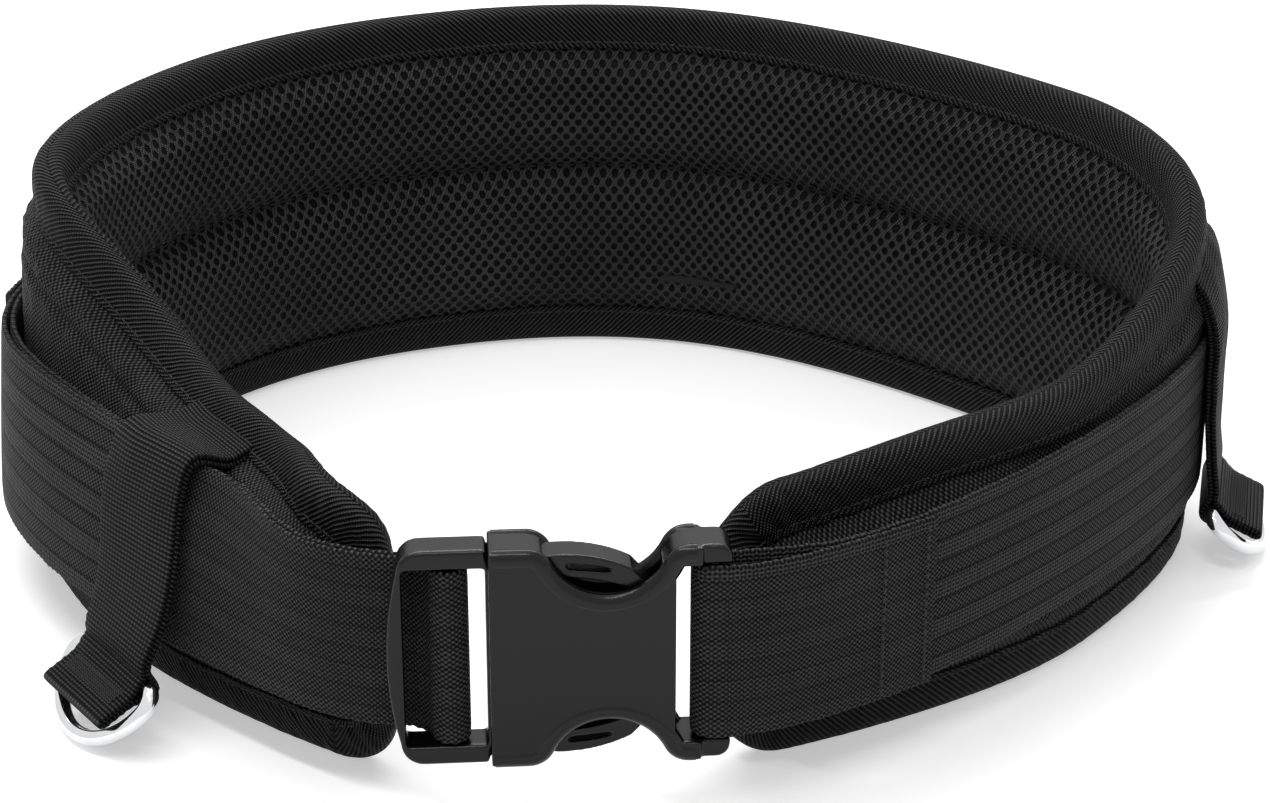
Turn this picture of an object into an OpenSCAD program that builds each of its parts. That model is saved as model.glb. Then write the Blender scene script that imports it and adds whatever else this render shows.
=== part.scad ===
// Padded tool belt: a contoured foam pad with bound edges, carried on one run of
// wide webbing that closes in front with a side-release buckle, and two drop
// loops with D-rings that hang from the pad's top edge.
//
// Millimetres. +X is to the buckle's right seen from the front, +Y goes from the
// buckle to the back of the belt, +Z is up. The belt stands on its bottom edge.
//
// Everything made of cloth is laid out on one curved sheet. A point of the sheet
// is (s, h, o): s runs along the webbing from the plug half of the buckle round
// the back to the socket half, h runs up the cloth, and o runs outward.

/* [Belt] */
// Width of the webbing ring, side to side
belt_w = 377; // [320:1:440]
// Depth of the webbing ring, from the buckle's face to the back
belt_d = 340; // [290:1:420]
// Inward curl of the left wing's top edge, where the buckle pulls it, in degrees
left_curl = 43; // [0:1:46]

/* [Pad] */
// Height of the pad at the wearer's back
back_h = 124; // [105:1:140]
// Height of the pad's left wing
left_wing_h = 96; // [90:1:104]
// Height of the pad's right wing
right_wing_h = 88; // [82:1:96]
// Fall of the left wing's top edge towards the buckle
left_fall = 18; // [4:0.5:20]
// Fall of the right wing's top edge towards the buckle
right_fall = 7; // [0:0.5:10]
// Radius of the pad's four corners
corner_r = 28; // [20:1:36]
// Thickness of the foam
foam_t = 11; // [6:0.5:18]
// Thickness of the woven outer shell
shell_t = 1; // [0.6:0.1:1.5]
// Thickness of the air-mesh lining
lining_t = 2; // [1:0.1:3]
// Space between the pad and the webbing at the left wing's end
left_gap = 8; // [4:0.5:12]
// Space between the pad and the webbing at the right wing's end
right_gap = 16; // [6:0.5:18]

/* [Edge binding] */
// Width of binding tape seen on each face of the pad
bind_w = 12.5; // [9:0.5:15]
// Thickness of the binding tape
bind_t = 1.0; // [0.6:0.1:1.4]
// Thickness of the sewing thread
thread_t = 0.4; // [0.2:0.05:0.6]

/* [Webbing] */
// Width of the webbing
web_w = 51; // [48:0.5:52]
// Thickness of the webbing
web_t = 2; // [1.4:0.1:2.4]
// Height of the webbing's lower edge above the pad's lower edge
web_low = 24; // [20:0.5:27]
// Length of the sewn flap behind the socket's bar
flap_l = 65; // [50:1:110]
// Length of the loose tail beyond the plug's bar
tail_l = 255; // [140:1:280]

/* [Drop loops and D-rings] */
// Width of the drop-loop webbing
loop_w = 34; // [28:0.5:38]
// Thickness of the drop-loop webbing, one layer
loop_t = 1.8; // [1.2:0.1:2]
// Distance of the left loop from the plug, along the belt
left_loop_at = 91; // [75:1:110]
// Distance of the right loop from the socket, along the belt
right_loop_at = 231; // [215:1:270]
// Inside width of the D-rings
ring_w = 40; // [39:0.5:48]
// Wire diameter of the D-rings
ring_wire = 5; // [3.5:0.5:5]
// Length of the pull tab beyond the D-ring's bar
tab_l = 17; // [12:0.5:17]

/* [Buckle] */
// Height of the buckle across the webbing
buckle_h = 65; // [64:0.5:76]
// Thickness of the socket half
socket_t = 15; // [13:0.5:18]
// Thickness of the plug half's frame
frame_t = 10; // [8:0.5:11]
// Depth of the finger scallops
scallop_d = 14; // [9:0.5:14]

/* [Hidden] */
$fn = 48;

// Clearances
ply = 0.15;        // between two layers of cloth sewn together
free = 0.4;        // between soft pieces that move apart
running = 0.06;    // round a pin in its bore
step = 15;         // spacing of the cloth's stations
channel_share = 0.54; // share of the pad's height below the lining's channel seam

// Buckle, seen from the front: x from its middle, z from its centre line
plug_x0 = -46;     // outer edge of the plug's bowed bar
plug_bow = 3.2;    // how far that bar bows outward
plug_corner_r = 6.3;
plug_gap_x = -41.3; // inner face of the bowed bar
plug_x1 = -18.8;   // where the plug's frame meets the socket
plug_bar_x = -29;  // the bar that the webbing wraps
web_bar_r = 3.1;   // radius of both webbing bars
rail_h = (buckle_h - web_w) / 2 - 1.4;
socket_x0 = -18.4;
socket_x1 = 46.5;
socket_bar_x = 41;
slot_x0 = 31.5;    // left end of the socket's webbing slot
scallop_x = 13.5;
scallop_r = 17;
scallop_blend = 7;
cavity_x1 = 28;    // blind end of the socket's hollow
wall = 2;          // walls above and below the hollow
face_wall = 2.6;   // front and back walls of the hollow
arm_x0 = -12.5;    // hinge line of the latch arms
arm_z0 = 25;
arm_root_r = 3.2;
arm_top = buckle_h / 2 - wall - 0.3;
arm_t = socket_t - 2 * face_wall - 1.2;
mid_y = socket_t / 2;

// The sheet
base_z = bind_t + ply;
pad_t = foam_t + shell_t + lining_t + 2 * ply;
web_z0 = base_z + web_low;
buckle_z = web_z0 + web_w / 2;
outer_ply = ply + web_t;
left_end = [plug_x0 + 2, mid_y + frame_t / 2 + free + outer_ply];
right_end = [socket_bar_x + 3, mid_y - 1.5];

// Plan of the webbing ring between the two bars, as control points of a smooth
// curve, in hundredths of the ring's width and depth
PLAN = [
    [-16.5, 5.5], [-33, 22], [-41.5, 37], [-46.5, 56.5], [-31, 88], [-8, 100], [17, 101],
    [40, 82], [60, 55], [54, 36], [36, 15], [21, 3]
];
CONTROL = concat(
    [left_end, left_end, left_end],
    [for (p = PLAN) [p[0] * belt_w, p[1] * belt_d] / 100],
    [right_end, right_end, right_end]
);

function smooth(x) = let (t = max(0, min(1, x))) t * t * (3 - 2 * t);
function unit(v) = v / norm(v);
function turn90(v) = [-v[1], v[0]];

// Uniform cubic B-spline, n steps to each span of the control points c
function blend(c, i, t) = (
    pow(1 - t, 3) * c[i] + (3 * pow(t, 3) - 6 * t * t + 4) * c[i + 1]
    + (3 * t * t - 3 * pow(t, 3) + 3 * t + 1) * c[i + 2] + pow(t, 3) * c[i + 3]
) / 6;
function spline(c, n) = concat(
    [for (i = [0 : len(c) - 4], k = [0 : n - 1]) blend(c, i, k / n)],
    [blend(c, len(c) - 4, 1)]
);

PATH = spline(CONTROL, 10);
last = len(PATH) - 1;
// Distance along the path at each of its points
RUN = [for (i = 0, d = 0; i <= last; i = i + 1,
    d = i > last ? d : d + norm(PATH[i] - PATH[i - 1])) d];
belt_l = RUN[last];
TURN = [for (i = [0 : last])
    turn90(unit(PATH[min(last, i + 1)] - PATH[max(0, i - 1)]))];
PATH_X = [for (i = [0 : last]) [RUN[i], PATH[i][0]]];
PATH_Y = [for (i = [0 : last]) [RUN[i], PATH[i][1]]];
TURN_X = [for (i = [0 : last]) [RUN[i], TURN[i][0]]];
TURN_Y = [for (i = [0 : last]) [RUN[i], TURN[i][1]]];

// Place on the path, and its outward direction
function at(s) = [lookup(s, PATH_X), lookup(s, PATH_Y)];
function out(s) = unit([lookup(s, TURN_X), lookup(s, TURN_Y)]);

// How far the sheet has curled over at a height h, in degrees
function curl(s, h) = left_curl * h / left_wing_h
    * smooth((s - 22) / 62) * (1 - smooth((s - 115) / 130));
// How far the pad hangs back from the webbing
function gap(s) = left_gap * (1 - smooth((s - 155) / 150))
    + right_gap * (1 - smooth((belt_l - s - 25) / 125));
function pad_face(s) = -(web_t + free + gap(s));
function pad_top(s) = let (r = belt_l - s) s < r
    ? left_wing_h + (back_h - left_wing_h) * smooth((s - 65) / 205)
        - left_fall * (1 - smooth(s / 100))
    : right_wing_h + (back_h - right_wing_h) * smooth((r - 125) / 190)
        - right_fall * (1 - smooth(r / 100));

// The sheet seen end on at s: distance outward from the path, and height. It
// bends in a plain arc from its lower edge up.
function profile_at(s, h, o) = let (
    a = curl(s, h),
    flat = abs(a) < 0.01,
    rise = flat ? h : h * sin(a) / (a * PI / 180),
    inward = flat ? 0 : h * (1 - cos(a)) / (a * PI / 180)
) [o * cos(a) - inward, base_z + rise + o * sin(a)];
// A point of the sheet in space
function place(s, h, o) = let (
    q = profile_at(s, h, o),
    flat = at(s) + out(s) * q[0]
) [flat[0], flat[1], q[1]];

// The pad's outline at a distance s along it, drawn in by u on every side
function corner(s, u) = let (
    r = corner_r - u,
    d = max(0, min(r, min(s, belt_l - s) - u))
) u + r - sqrt(r * r - (r - d) * (r - d));
row_n = ceil((belt_l - 2 * corner_r) / step);
// The station nearest the middle of the back, where the halves of the foam and
// of the tape meet
middle_s = corner_r + floor(row_n / 2) * (belt_l - 2 * corner_r) / row_n;
function stations(u) = let (r = corner_r - u, n = row_n)
    concat(
        [for (a = [0 : 15 : 75]) u + r * (1 - cos(a))],
        [for (i = [0 : n]) corner_r + i * (belt_l - 2 * corner_r) / n],
        [for (a = [75 : -15 : 0]) belt_l - u - r * (1 - cos(a))]
    );
function between(s0, s1) = let (n = ceil((s1 - s0) / step))
    [for (i = [0 : n]) s0 + i * (s1 - s0) / n];

// A strip's cross-section through the heights hs, up its outside from depth o1
// and down its inside at depth o0
function strip_ring(s, hs, o0, o1) = concat(
    [for (h = hs) place(s, h, o1)],
    [for (i = [len(hs) - 1 : -1 : 0]) place(s, hs[i], o0)]
);
// The same for webbing that stands upright between two plan points
function upright_ring(p_right, p_left) = concat(
    [for (h = WEB_H) [p_left[0], p_left[1], base_z + h]],
    [for (i = [len(WEB_H) - 1 : -1 : 0]) [p_right[0], p_right[1], base_z + WEB_H[i]]]
);
WEB_H = [for (i = [0 : 3]) web_low + web_w * i / 3];

// A closed solid through a list of cross-sections. Each side of a section is split
// along one diagonal, and shift moves the corner at which that diagonal changes
module skin(rings, closed = false, shift = 0) {
    n = len(rings[0]);
    m = len(rings);
    sides = [for (i = [0 : m - (closed ? 1 : 2)], j = [0 : n - 1]) let (
        a = i * n + j,
        b = i * n + (j + 1) % n,
        c = ((i + 1) % m) * n + (j + 1) % n,
        d = ((i + 1) % m) * n + j
    ) each ((j + shift) % n < n / 2) != closed ? [[a, d, c], [a, c, b]] : [[a, d, b], [d, c, b]]];
    last_ring = (m - 1) * n;
    caps = closed ? [] : [for (j = [0 : n / 2 - 2]) let (
        a = j,
        b = j + 1,
        c = n - 2 - j,
        d = n - 1 - j
    ) each [[a, b, c], [a, c, d],
        [last_ring + c, last_ring + b, last_ring + a],
        [last_ring + d, last_ring + c, last_ring + a]]];
    polyhedron([for (r = rings) each r], concat(sides, caps));
}

// One flat layer of the pad, from depth o0 to o1 behind the pad's outer face
module pad_layer(u, o0, o1, s0 = 0, s1 = belt_l) {
    skin([for (s = stations(u)) if (s > s0 - 0.01 && s < s1 + 0.01) let (
        f = pad_face(s),
        low = corner(s, u),
        high = pad_top(s) - low,
        b = min(bind_w, (high - low) / 4)
    ) strip_ring(s, [low, low + b, low + (high - low) * channel_share, high - b, high],
        f - o1, f - o0)]);
}

// The pad's outline as a closed loop on the sheet, with inward directions
EDGE = let (st = stations(0)) concat(
    [for (s = st) [s, corner(s, 0)]],
    [for (i = [len(st) - 1 : -1 : 0]) [st[i], pad_top(st[i]) - corner(st[i], 0)]]
);
edge_n = len(EDGE);
EDGE_IN = [for (i = [0 : edge_n - 1])
    turn90(unit(EDGE[(i + 1) % edge_n] - EDGE[(i + edge_n - 1) % edge_n]))];

// The tape's halves meet at the same place on its lower and upper edge
edge_low = 6 + floor(row_n / 2);
edge_high = edge_n - 1 - edge_low;

function edge_ring(i, section) = let (e = EDGE[i], f = pad_face(e[0]))
    [for (p = section) let (q = e + EDGE_IN[i] * p[0]) place(q[0], q[1], f + p[1])];
// A cross-section of (u, o) points swept all round that outline
module edge_sweep(section) {
    skin([for (i = [0 : edge_n - 1]) edge_ring(i, section)], closed = true);
}

// Stitches: short blocks of thread lying along a line of the sheet
module stitch(s, h, o, len_s, len_h) {
    skin([for (q = [s - len_s / 2, s + len_s / 2])
        strip_ring(q, [h - len_h / 2, h + len_h / 2], o, o + thread_t)]);
}
module stitch_column(s, h0, h1, o) {
    n = floor((h1 - h0) / 4);
    for (i = [0 : n]) stitch(s, h0 + i * (h1 - h0) / n, o, 0.8, 2.6);
}

/* ---- Pad ---- */

module foam_half(s0, s1) {
    color("#3a3a3c") pad_layer(ply + 0.6, shell_t + ply, shell_t + ply + foam_t, s0, s1);
}
module foam_core_left() {
    foam_half(0, middle_s);
}
module foam_core_right() {
    foam_half(middle_s, belt_l);
}
module outer_shell() {
    color("#1f1f21") pad_layer(ply, 0, shell_t);
}
module inner_lining() {
    color("#262628") pad_layer(ply, pad_t - lining_t, pad_t);
}
module tape_half(i0, i1) {
    out_face = ply + bind_t;
    section = [
        [bind_w, -pad_t - out_face], [-out_face, -pad_t - out_face],
        [-out_face, out_face], [bind_w, out_face],
        [bind_w, ply], [0, ply], [0, -pad_t - ply], [bind_w, -pad_t - ply]
    ];
    color("#18181a") skin([for (i = [i0 : i1]) edge_ring(i % edge_n, section)], shift = 3);
}
module edge_binding_left() {
    tape_half(edge_high, edge_n + edge_low);
}
module edge_binding_right() {
    tape_half(edge_low, edge_high);
}
// One lockstitch seam holds the tape: its thread shows on both faces
module binding_seam(o0, o1) {
    u = bind_w - 2;
    color("#101012") edge_sweep([[u, o0], [u, o1], [u + 0.8, o1], [u + 0.8, o0]]);
}
module binding_seam_outer() {
    binding_seam(ply + bind_t, ply + bind_t + thread_t);
}
module binding_seam_inner() {
    binding_seam(-pad_t - ply - bind_t - thread_t, -pad_t - ply - bind_t);
}
module lining_channel_seam() {
    o = -pad_t - thread_t - ply;
    color("#101012") skin([for (s = between(corner_r, belt_l - corner_r)) let (
        h = pad_top(s) * channel_share,
        f = pad_face(s)
    ) strip_ring(s, [h - 0.6, h + 0.6], f + o, f + o + thread_t)]);
}
// A short sewn bar low on the lining, right of the back's middle
tack_l = 32;
tack_from_middle = 34;
module back_tack() {
    s = belt_l / 2 + tack_from_middle;
    f = pad_face(s) - pad_t - thread_t - ply;
    color("#101012") skin([for (q = between(s - tack_l / 2, s + tack_l / 2))
        strip_ring(q, [25, 28], f, f + thread_t)]);
}

/* ---- Webbing ---- */

join_s = 18;                       // where the plug's own turn of webbing ends
hem_l = 20;
bar_turn_r = web_bar_r + 0.3 + web_t / 2;
// How far the two layers part on their way to the socket's bar
function spread(s) = (bar_turn_r - web_t / 2 - ply / 2)
    * smooth((s - belt_l + 42) / 42);

module belt_webbing() {
    bar = [socket_bar_x, right_end[1]];
    main = [for (s = between(join_s, belt_l)) let (o = -spread(s))
        strip_ring(s, WEB_H, o - web_t, o)];
    turn = [for (a = [105 : 15 : 255]) let (d = [cos(a), sin(a)])
        upright_ring(bar + d * (bar_turn_r + web_t / 2),
            bar + d * (bar_turn_r - web_t / 2))];
    flap = [for (s = between(0, flap_l)) let (
        q = belt_l - s,
        o = ply + spread(q),
        p = at(q),
        n = out(q)
    ) upright_ring(p + n * (o + web_t), p + n * o)];
    color("#1c1c1e") skin(concat(main, turn, flap));
}
module webbing_tail() {
    hem_s = tail_l - hem_l;
    // The tail shares the stations of the webbing that it lies on
    runs = concat([for (s = between(join_s, belt_l)) if (s < hem_s - 1) s],
        [hem_s, hem_s + 0.2], between(hem_s + 1, tail_l));
    color("#1c1c1e") skin([for (s = runs) let (t = s > hem_s ? 2 * web_t : web_t)
        strip_ring(s, WEB_H, ply, ply + t)]);
}
// The turn of webbing round the plug's bar, which the plug carries with it
module webbing_bight() {
    bar = [plug_bar_x, mid_y];
    t = web_t / 2;
    gap_s = join_s - 0.4;
    in_leg = concat([for (s = [gap_s, gap_s / 2, 0]) at(s) - out(s) * t],
        [left_end + [3.5, t]]);
    in_turn = [for (a = [75 : -15 : -180]) bar + bar_turn_r * [cos(a), sin(a)]];
    dip = [for (q = [[10, -4.9], [8, -3], [5.5, -1.4], [3, -0.3]])
        left_end + [q[0], ply + q[1] - t]];
    out_leg = [for (s = [0, gap_s / 2, gap_s]) at(s) + out(s) * (ply + t)];
    line = concat(in_leg, in_turn, dip, out_leg);
    m = len(line) - 1;
    side = [for (i = [0 : m])
        turn90(unit(line[min(m, i + 1)] - line[max(0, i - 1)])) * t];
    color("#1c1c1e") translate([0, 0, web_z0]) linear_extrude(web_w) polygon(concat(
        [for (i = [0 : m]) line[i] + side[i]],
        [for (i = [m : -1 : 0]) line[i] - side[i]]
    ));
}
// Two rows of stitches close the flap round the socket's bar
flap_rows = 15;
module flap_stitching() {
    color("#0c0c0e") for (k = [0, 1]) {
        s = belt_l - flap_l + 3 + k * flap_rows;
        stitch_column(s, web_low + 3, web_low + web_w - 3, outer_ply + spread(s));
    }
}
module tail_hem_stitching() {
    color("#0c0c0e") for (k = [0, 1]) {
        s = tail_l - 4 - k * (hem_l - 8);
        stitch_column(s, web_low + 3, web_low + web_w - 3, ply + 2 * web_t + running);
    }
}
// Sewn columns that hold the webbing to the back of the pad
module webbing_pad_tacks() {
    color("#0c0c0e") for (k = [-1, 1], j = [-1, 1])
        stitch_column(belt_l / 2 + k * 95 + j * 12, web_low + 3, web_low + web_w - 3, 0);
}

/* ---- Drop loops and D-rings ---- */

ring_r = (ring_w + ring_wire) / 2;       // bow, at the middle of the wire
ring_tilt = 46;                          // below level, at rest on the floor
tab_tilt = 24;
left_stand = 9;                          // how far the bars hang off the webbing
right_stand = 2.5;
bar_z = ring_r * sin(ring_tilt) + ring_wire / 2 + 0.3;
loop_half = loop_t;                      // half of the two layers together
eye_r = ring_wire / 2 + loop_half;
left_s = left_loop_at;
right_s = belt_l - right_loop_at;

// Outside of what the loop hangs over
function cover(s) = s < tail_l ? outer_ply : 0;
function bar_point(s) = let (low = profile_at(s, web_low, cover(s)))
    [low[0] + loop_half + (s < tail_l ? left_stand : right_stand), bar_z];
function loop_line(s) = let (
    up = pad_top(s) - bind_w - 5.8,
    h = web_low,
    k = free + loop_half,
    ease = s < tail_l ? 3.5 : 0.6,
    a = profile_at(s, up, pad_face(s) + k + 0.5 * ease),
    b = profile_at(s, min(up, h + web_w + 3), cover(s) + k + 1.2 * ease),
    c = profile_at(s, h + web_w - 8, cover(s) + k + 1.2 * ease),
    d = profile_at(s, h + 10, cover(s) + k + 1.4 * ease),
    e = bar_point(s)
) spline([a, a, a, b, c, d, e + [0.4, 8], e, e, e], 6);

// Stands a thing drawn in (outward, up) on the belt at s, facing outward
module on_belt(s) {
    p = at(s);
    n = out(s);
    translate([p[0], p[1], 0]) rotate([0, 0, atan2(n[1], n[0])]) rotate([90, 0, 0])
        children();
}
module drop_loop(s) {
    line = loop_line(s);
    m = len(line) - 1;
    side = [for (i = [0 : m])
        turn90(unit(line[min(m, i + 1)] - line[max(0, i - 1)])) * loop_half];
    e = bar_point(s);
    on_belt(s) difference() {
        union() {
            linear_extrude(loop_w, center = true) polygon(concat(
                [for (i = [0 : m]) line[i] + side[i]],
                [for (i = [m : -1 : 0]) line[i] - side[i]]
            ));
            translate(e) cylinder(r = eye_r, h = loop_w, center = true);
            translate(e) rotate([0, 0, -tab_tilt]) translate([0, -loop_half, -loop_w / 2])
                cube([tab_l, 2 * loop_half, loop_w]);
        }
        translate(e) cylinder(r = ring_wire / 2 + running, h = loop_w + 2, center = true);
    }
}
// A block of zigzag stitches across the tab
module tab_tack(s) {
    n = 9;
    on_belt(s) translate(bar_point(s)) rotate([0, 0, -tab_tilt])
        for (i = [0 : n - 1], x = [eye_r + 1.5, eye_r + 5])
            translate([x, loop_half, (i - (n - 1) / 2) * 3.4 - 1.2])
                cube([0.8, thread_t, 2.4]);
}
module d_ring(s) {
    on_belt(s) translate(bar_point(s)) rotate([0, 0, -ring_tilt]) {
        cylinder(d = ring_wire, h = 2 * ring_r, center = true);
        for (z = [-ring_r, ring_r]) translate([0, 0, z]) sphere(d = ring_wire);
        rotate([90, 0, 0]) rotate([0, 0, -90]) rotate_extrude(angle = 180)
            translate([ring_r, 0]) circle(d = ring_wire);
    }
}
module left_drop_loop() {
    color("#1b1b1d") drop_loop(left_s);
}
module left_tab_tack() {
    color("#0c0c0e") tab_tack(left_s);
}
module left_d_ring() {
    color("#d8dade") d_ring(left_s);
}
module right_drop_loop() {
    color("#1b1b1d") drop_loop(right_s);
}
module right_tab_tack() {
    color("#0c0c0e") tab_tack(right_s);
}
module right_d_ring() {
    color("#d8dade") d_ring(right_s);
}

/* ---- Buckle ---- */

// Stands an outline drawn in (x, z) up, t thick, about the buckle's mid-plane
module plate(t) {
    translate([0, mid_y + t / 2, buckle_z]) rotate([90, 0, 0]) linear_extrude(t)
        children();
}
// A bar across the webbing
module web_bar(x, y, half_h) {
    translate([x, y, buckle_z - half_h]) cylinder(r = web_bar_r, h = 2 * half_h);
}
function arc(c, r, a0, a1, n = 8) =
    [for (i = [0 : n]) let (a = a0 + (a1 - a0) * i / n) c + r * [cos(a), sin(a)]];

// Upper edge of the socket, left to right, with its finger scallop
half_h = buckle_h / 2;
scallop_c = [scallop_x, half_h - scallop_d + scallop_r];
blend_dz = scallop_c[1] - half_h + scallop_blend;
blend_dx = sqrt(pow(scallop_r + scallop_blend, 2) - blend_dz * blend_dz);
blend_a = atan2(blend_dz, blend_dx);
SOCKET_TOP = concat(
    [[socket_x0, half_h]],
    arc([scallop_x - blend_dx, half_h - scallop_blend], scallop_blend, 90, blend_a),
    arc(scallop_c, scallop_r, 180 + blend_a, 360 - blend_a, 14),
    arc([scallop_x + blend_dx, half_h - scallop_blend], scallop_blend, 180 - blend_a, 90),
    arc([socket_x1 - 4, half_h - 4], 4, 90, 0)
);
module socket_outline() {
    n = len(SOCKET_TOP);
    polygon(concat(SOCKET_TOP,
        [for (i = [n - 1 : -1 : 0]) [SOCKET_TOP[i][0], -SOCKET_TOP[i][1]]]));
}
module female_buckle() {
    bar_y = right_end[1];
    rear_t = socket_t - 3;
    color("#1a1a1b") {
        difference() {
            plate(socket_t) socket_outline();
            // The hollow that takes the plug
            plate(socket_t - 2 * face_wall) polygon([
                [socket_x0 - 1, wall - half_h], [cavity_x1, wall - half_h],
                [cavity_x1, half_h - wall], [socket_x0 - 1, half_h - wall]
            ]);
            // The slot for the webbing, open between the two rails
            plate(socket_t + 2) translate([slot_x0, rail_h - half_h])
                square([socket_x1 - slot_x0 + 1, buckle_h - 2 * rail_h]);
            // The rails are thinner than the body, front and back
            for (y = [-1, mid_y + rear_t / 2])
                translate([socket_x1 - 8, y, buckle_z - half_h - 1])
                    cube([9, mid_y - rear_t / 2 + 1, buckle_h + 2]);
        }
        web_bar(socket_bar_x, bar_y, half_h - rail_h + 0.5);
    }
}

// Outline of the plug's frame, with its bowed outer bar
PLUG_SIDE = [for (i = [-6 : 6]) let (k = i / 6)
    [plug_x0 + plug_bow * k * k, k * (half_h - plug_corner_r)]];
plug_corner_c = [plug_x0 + plug_bow + plug_corner_r, half_h - plug_corner_r];
module male_buckle() {
    inner_h = half_h - rail_h;
    plug_h = half_h - wall - 0.3;
    plug_t = socket_t - 2 * face_wall - 0.8;
    plug_x2 = arm_x0 + 2;
    color("#1a1a1b") {
        difference() {
            union() {
                plate(frame_t) polygon(concat(
                    PLUG_SIDE,
                    arc(plug_corner_c, plug_corner_r, 170, 90, 6),
                    [[plug_x1, half_h], [plug_x1, -half_h]],
                    arc([plug_corner_c[0], -plug_corner_c[1]], plug_corner_r, -90, -170, 6)
                ));
                // The block that carries the arms inside the socket
                plate(plug_t) translate([plug_x1 - 0.4, -plug_h])
                    square([plug_x2 - plug_x1 + 0.4, 2 * plug_h]);
                // The tongue that guides the plug
                plate(plug_t - 2) polygon([
                    [plug_x2 - 1, -6], [18, -6], [22, -3], [22, 3], [18, 6],
                    [plug_x2 - 1, 6]
                ]);
            }
            plate(frame_t + 2) translate([plug_gap_x, -inner_h])
                square([plug_x1 - 0.4 - plug_gap_x, 2 * inner_h]);
            // Round seats for the roots of the arms
            for (z = [-arm_z0, arm_z0]) plate(socket_t) translate([arm_x0, z])
                circle(r = arm_root_r + 0.2);
            for (k = [0, 1]) plate(socket_t) mirror([0, k])
                translate([arm_x0, arm_z0 - arm_root_r - 0.9])
                    square([5, 2 * arm_root_r + 5]);
        }
        web_bar(plug_bar_x, mid_y, inner_h + 0.5);
    }
}
// One bowed latch arm, from its root in the plug to its tip in the socket
ARM = concat(
    arc([arm_x0, arm_z0], arm_root_r, 270, 115, 8),
    [[arm_x0 + 1, arm_z0 + arm_root_r + 0.3]],
    arc([1, arm_top - 40], 40, 98, 62, 9),
    arc([24.2, 17.2], 2.2, 50, -110, 6),
    arc([2, arm_top - 47], 40, 64, 95, 7)
);
module latch_arm(k) {
    color("#161617") difference() {
        plate(arm_t) mirror([0, k]) polygon(ARM);
        // A window that lightens the bow
        plate(arm_t + 2) mirror([0, k]) translate([3, arm_top - 4.6])
            polygon(concat(arc([0, -36], 37.6, 92, 72, 5), [[11, -1.2], [0, 0]]));
    }
}
module latch_arm_upper() {
    latch_arm(0);
}
module latch_arm_lower() {
    latch_arm(1);
}

/* ---- Assembly, with the middle of its box over the origin ---- */

function ends(v) = [min(v), max(v)];
function ring_tip(s) =
    at(s) + out(s) * (bar_point(s)[0] + ring_r * cos(ring_tilt) + ring_wire / 2);
span_x = ends(concat([for (s = between(0, belt_l)) at(s)[0]],
    [ring_tip(left_s)[0], ring_tip(right_s)[0]]));
span_y = ends(concat([for (s = between(0, belt_l)) at(s)[1]], [0]));
origin = [(span_x[0] + span_x[1]) / 2, (span_y[0] + span_y[1]) / 2];

module placed() {
    translate([-origin[0], -origin[1], 0]) children();
}
placed() foam_core_left();
placed() foam_core_right();
placed() outer_shell();
placed() inner_lining();
placed() edge_binding_left();
placed() edge_binding_right();
placed() binding_seam_outer();
placed() binding_seam_inner();
placed() lining_channel_seam();
placed() back_tack();
placed() belt_webbing();
placed() webbing_tail();
placed() webbing_pad_tacks();
placed() flap_stitching();
placed() tail_hem_stitching();
placed() female_buckle();
placed() male_buckle();
placed() latch_arm_upper();
placed() latch_arm_lower();
placed() webbing_bight();
placed() left_drop_loop();
placed() left_tab_tack();
placed() left_d_ring();
placed() right_drop_loop();
placed() right_tab_tack();
placed() right_d_ring();
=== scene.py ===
# %% [markdown]
# # A padded tool belt
# A carpenter's belt is two things sewn together: a stiff foam pad that spreads the
# load over the hips, and one run of wide webbing that carries it and closes in front
# with a side-release buckle. Everything here is cloth laid out on one curved sheet,
# so the lesson builds that sheet first and then lays each piece on it.

# %% Load the fixed frame
import math
import bmesh
import bpy
import numpy as np
from mathutils import Matrix, Vector


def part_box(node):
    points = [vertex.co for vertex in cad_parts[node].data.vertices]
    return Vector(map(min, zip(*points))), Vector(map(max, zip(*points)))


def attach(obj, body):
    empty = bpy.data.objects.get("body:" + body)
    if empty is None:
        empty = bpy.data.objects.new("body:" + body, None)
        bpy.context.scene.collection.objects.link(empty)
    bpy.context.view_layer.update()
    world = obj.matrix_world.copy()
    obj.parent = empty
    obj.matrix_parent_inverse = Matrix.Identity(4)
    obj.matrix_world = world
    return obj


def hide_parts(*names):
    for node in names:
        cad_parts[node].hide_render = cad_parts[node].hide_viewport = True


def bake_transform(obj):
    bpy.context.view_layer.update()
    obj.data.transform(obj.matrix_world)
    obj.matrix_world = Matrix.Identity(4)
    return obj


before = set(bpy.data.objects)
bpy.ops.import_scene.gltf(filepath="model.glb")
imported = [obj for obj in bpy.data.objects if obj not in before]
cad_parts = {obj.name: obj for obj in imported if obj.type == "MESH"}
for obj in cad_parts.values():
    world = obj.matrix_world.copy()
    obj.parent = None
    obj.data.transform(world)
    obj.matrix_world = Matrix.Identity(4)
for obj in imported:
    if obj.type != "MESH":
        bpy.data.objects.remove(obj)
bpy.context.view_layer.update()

# %% [markdown]
# ## The sheet
# A point of the cloth is (s, h, o): s runs along the webbing from the plug half of the
# buckle round the back to the socket half, h runs up the cloth and o runs outward.
# The plan of the belt is a uniform B-spline, because it bends evenly between a few
# control points, as a foam pad does. The values are millimetres.

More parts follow.
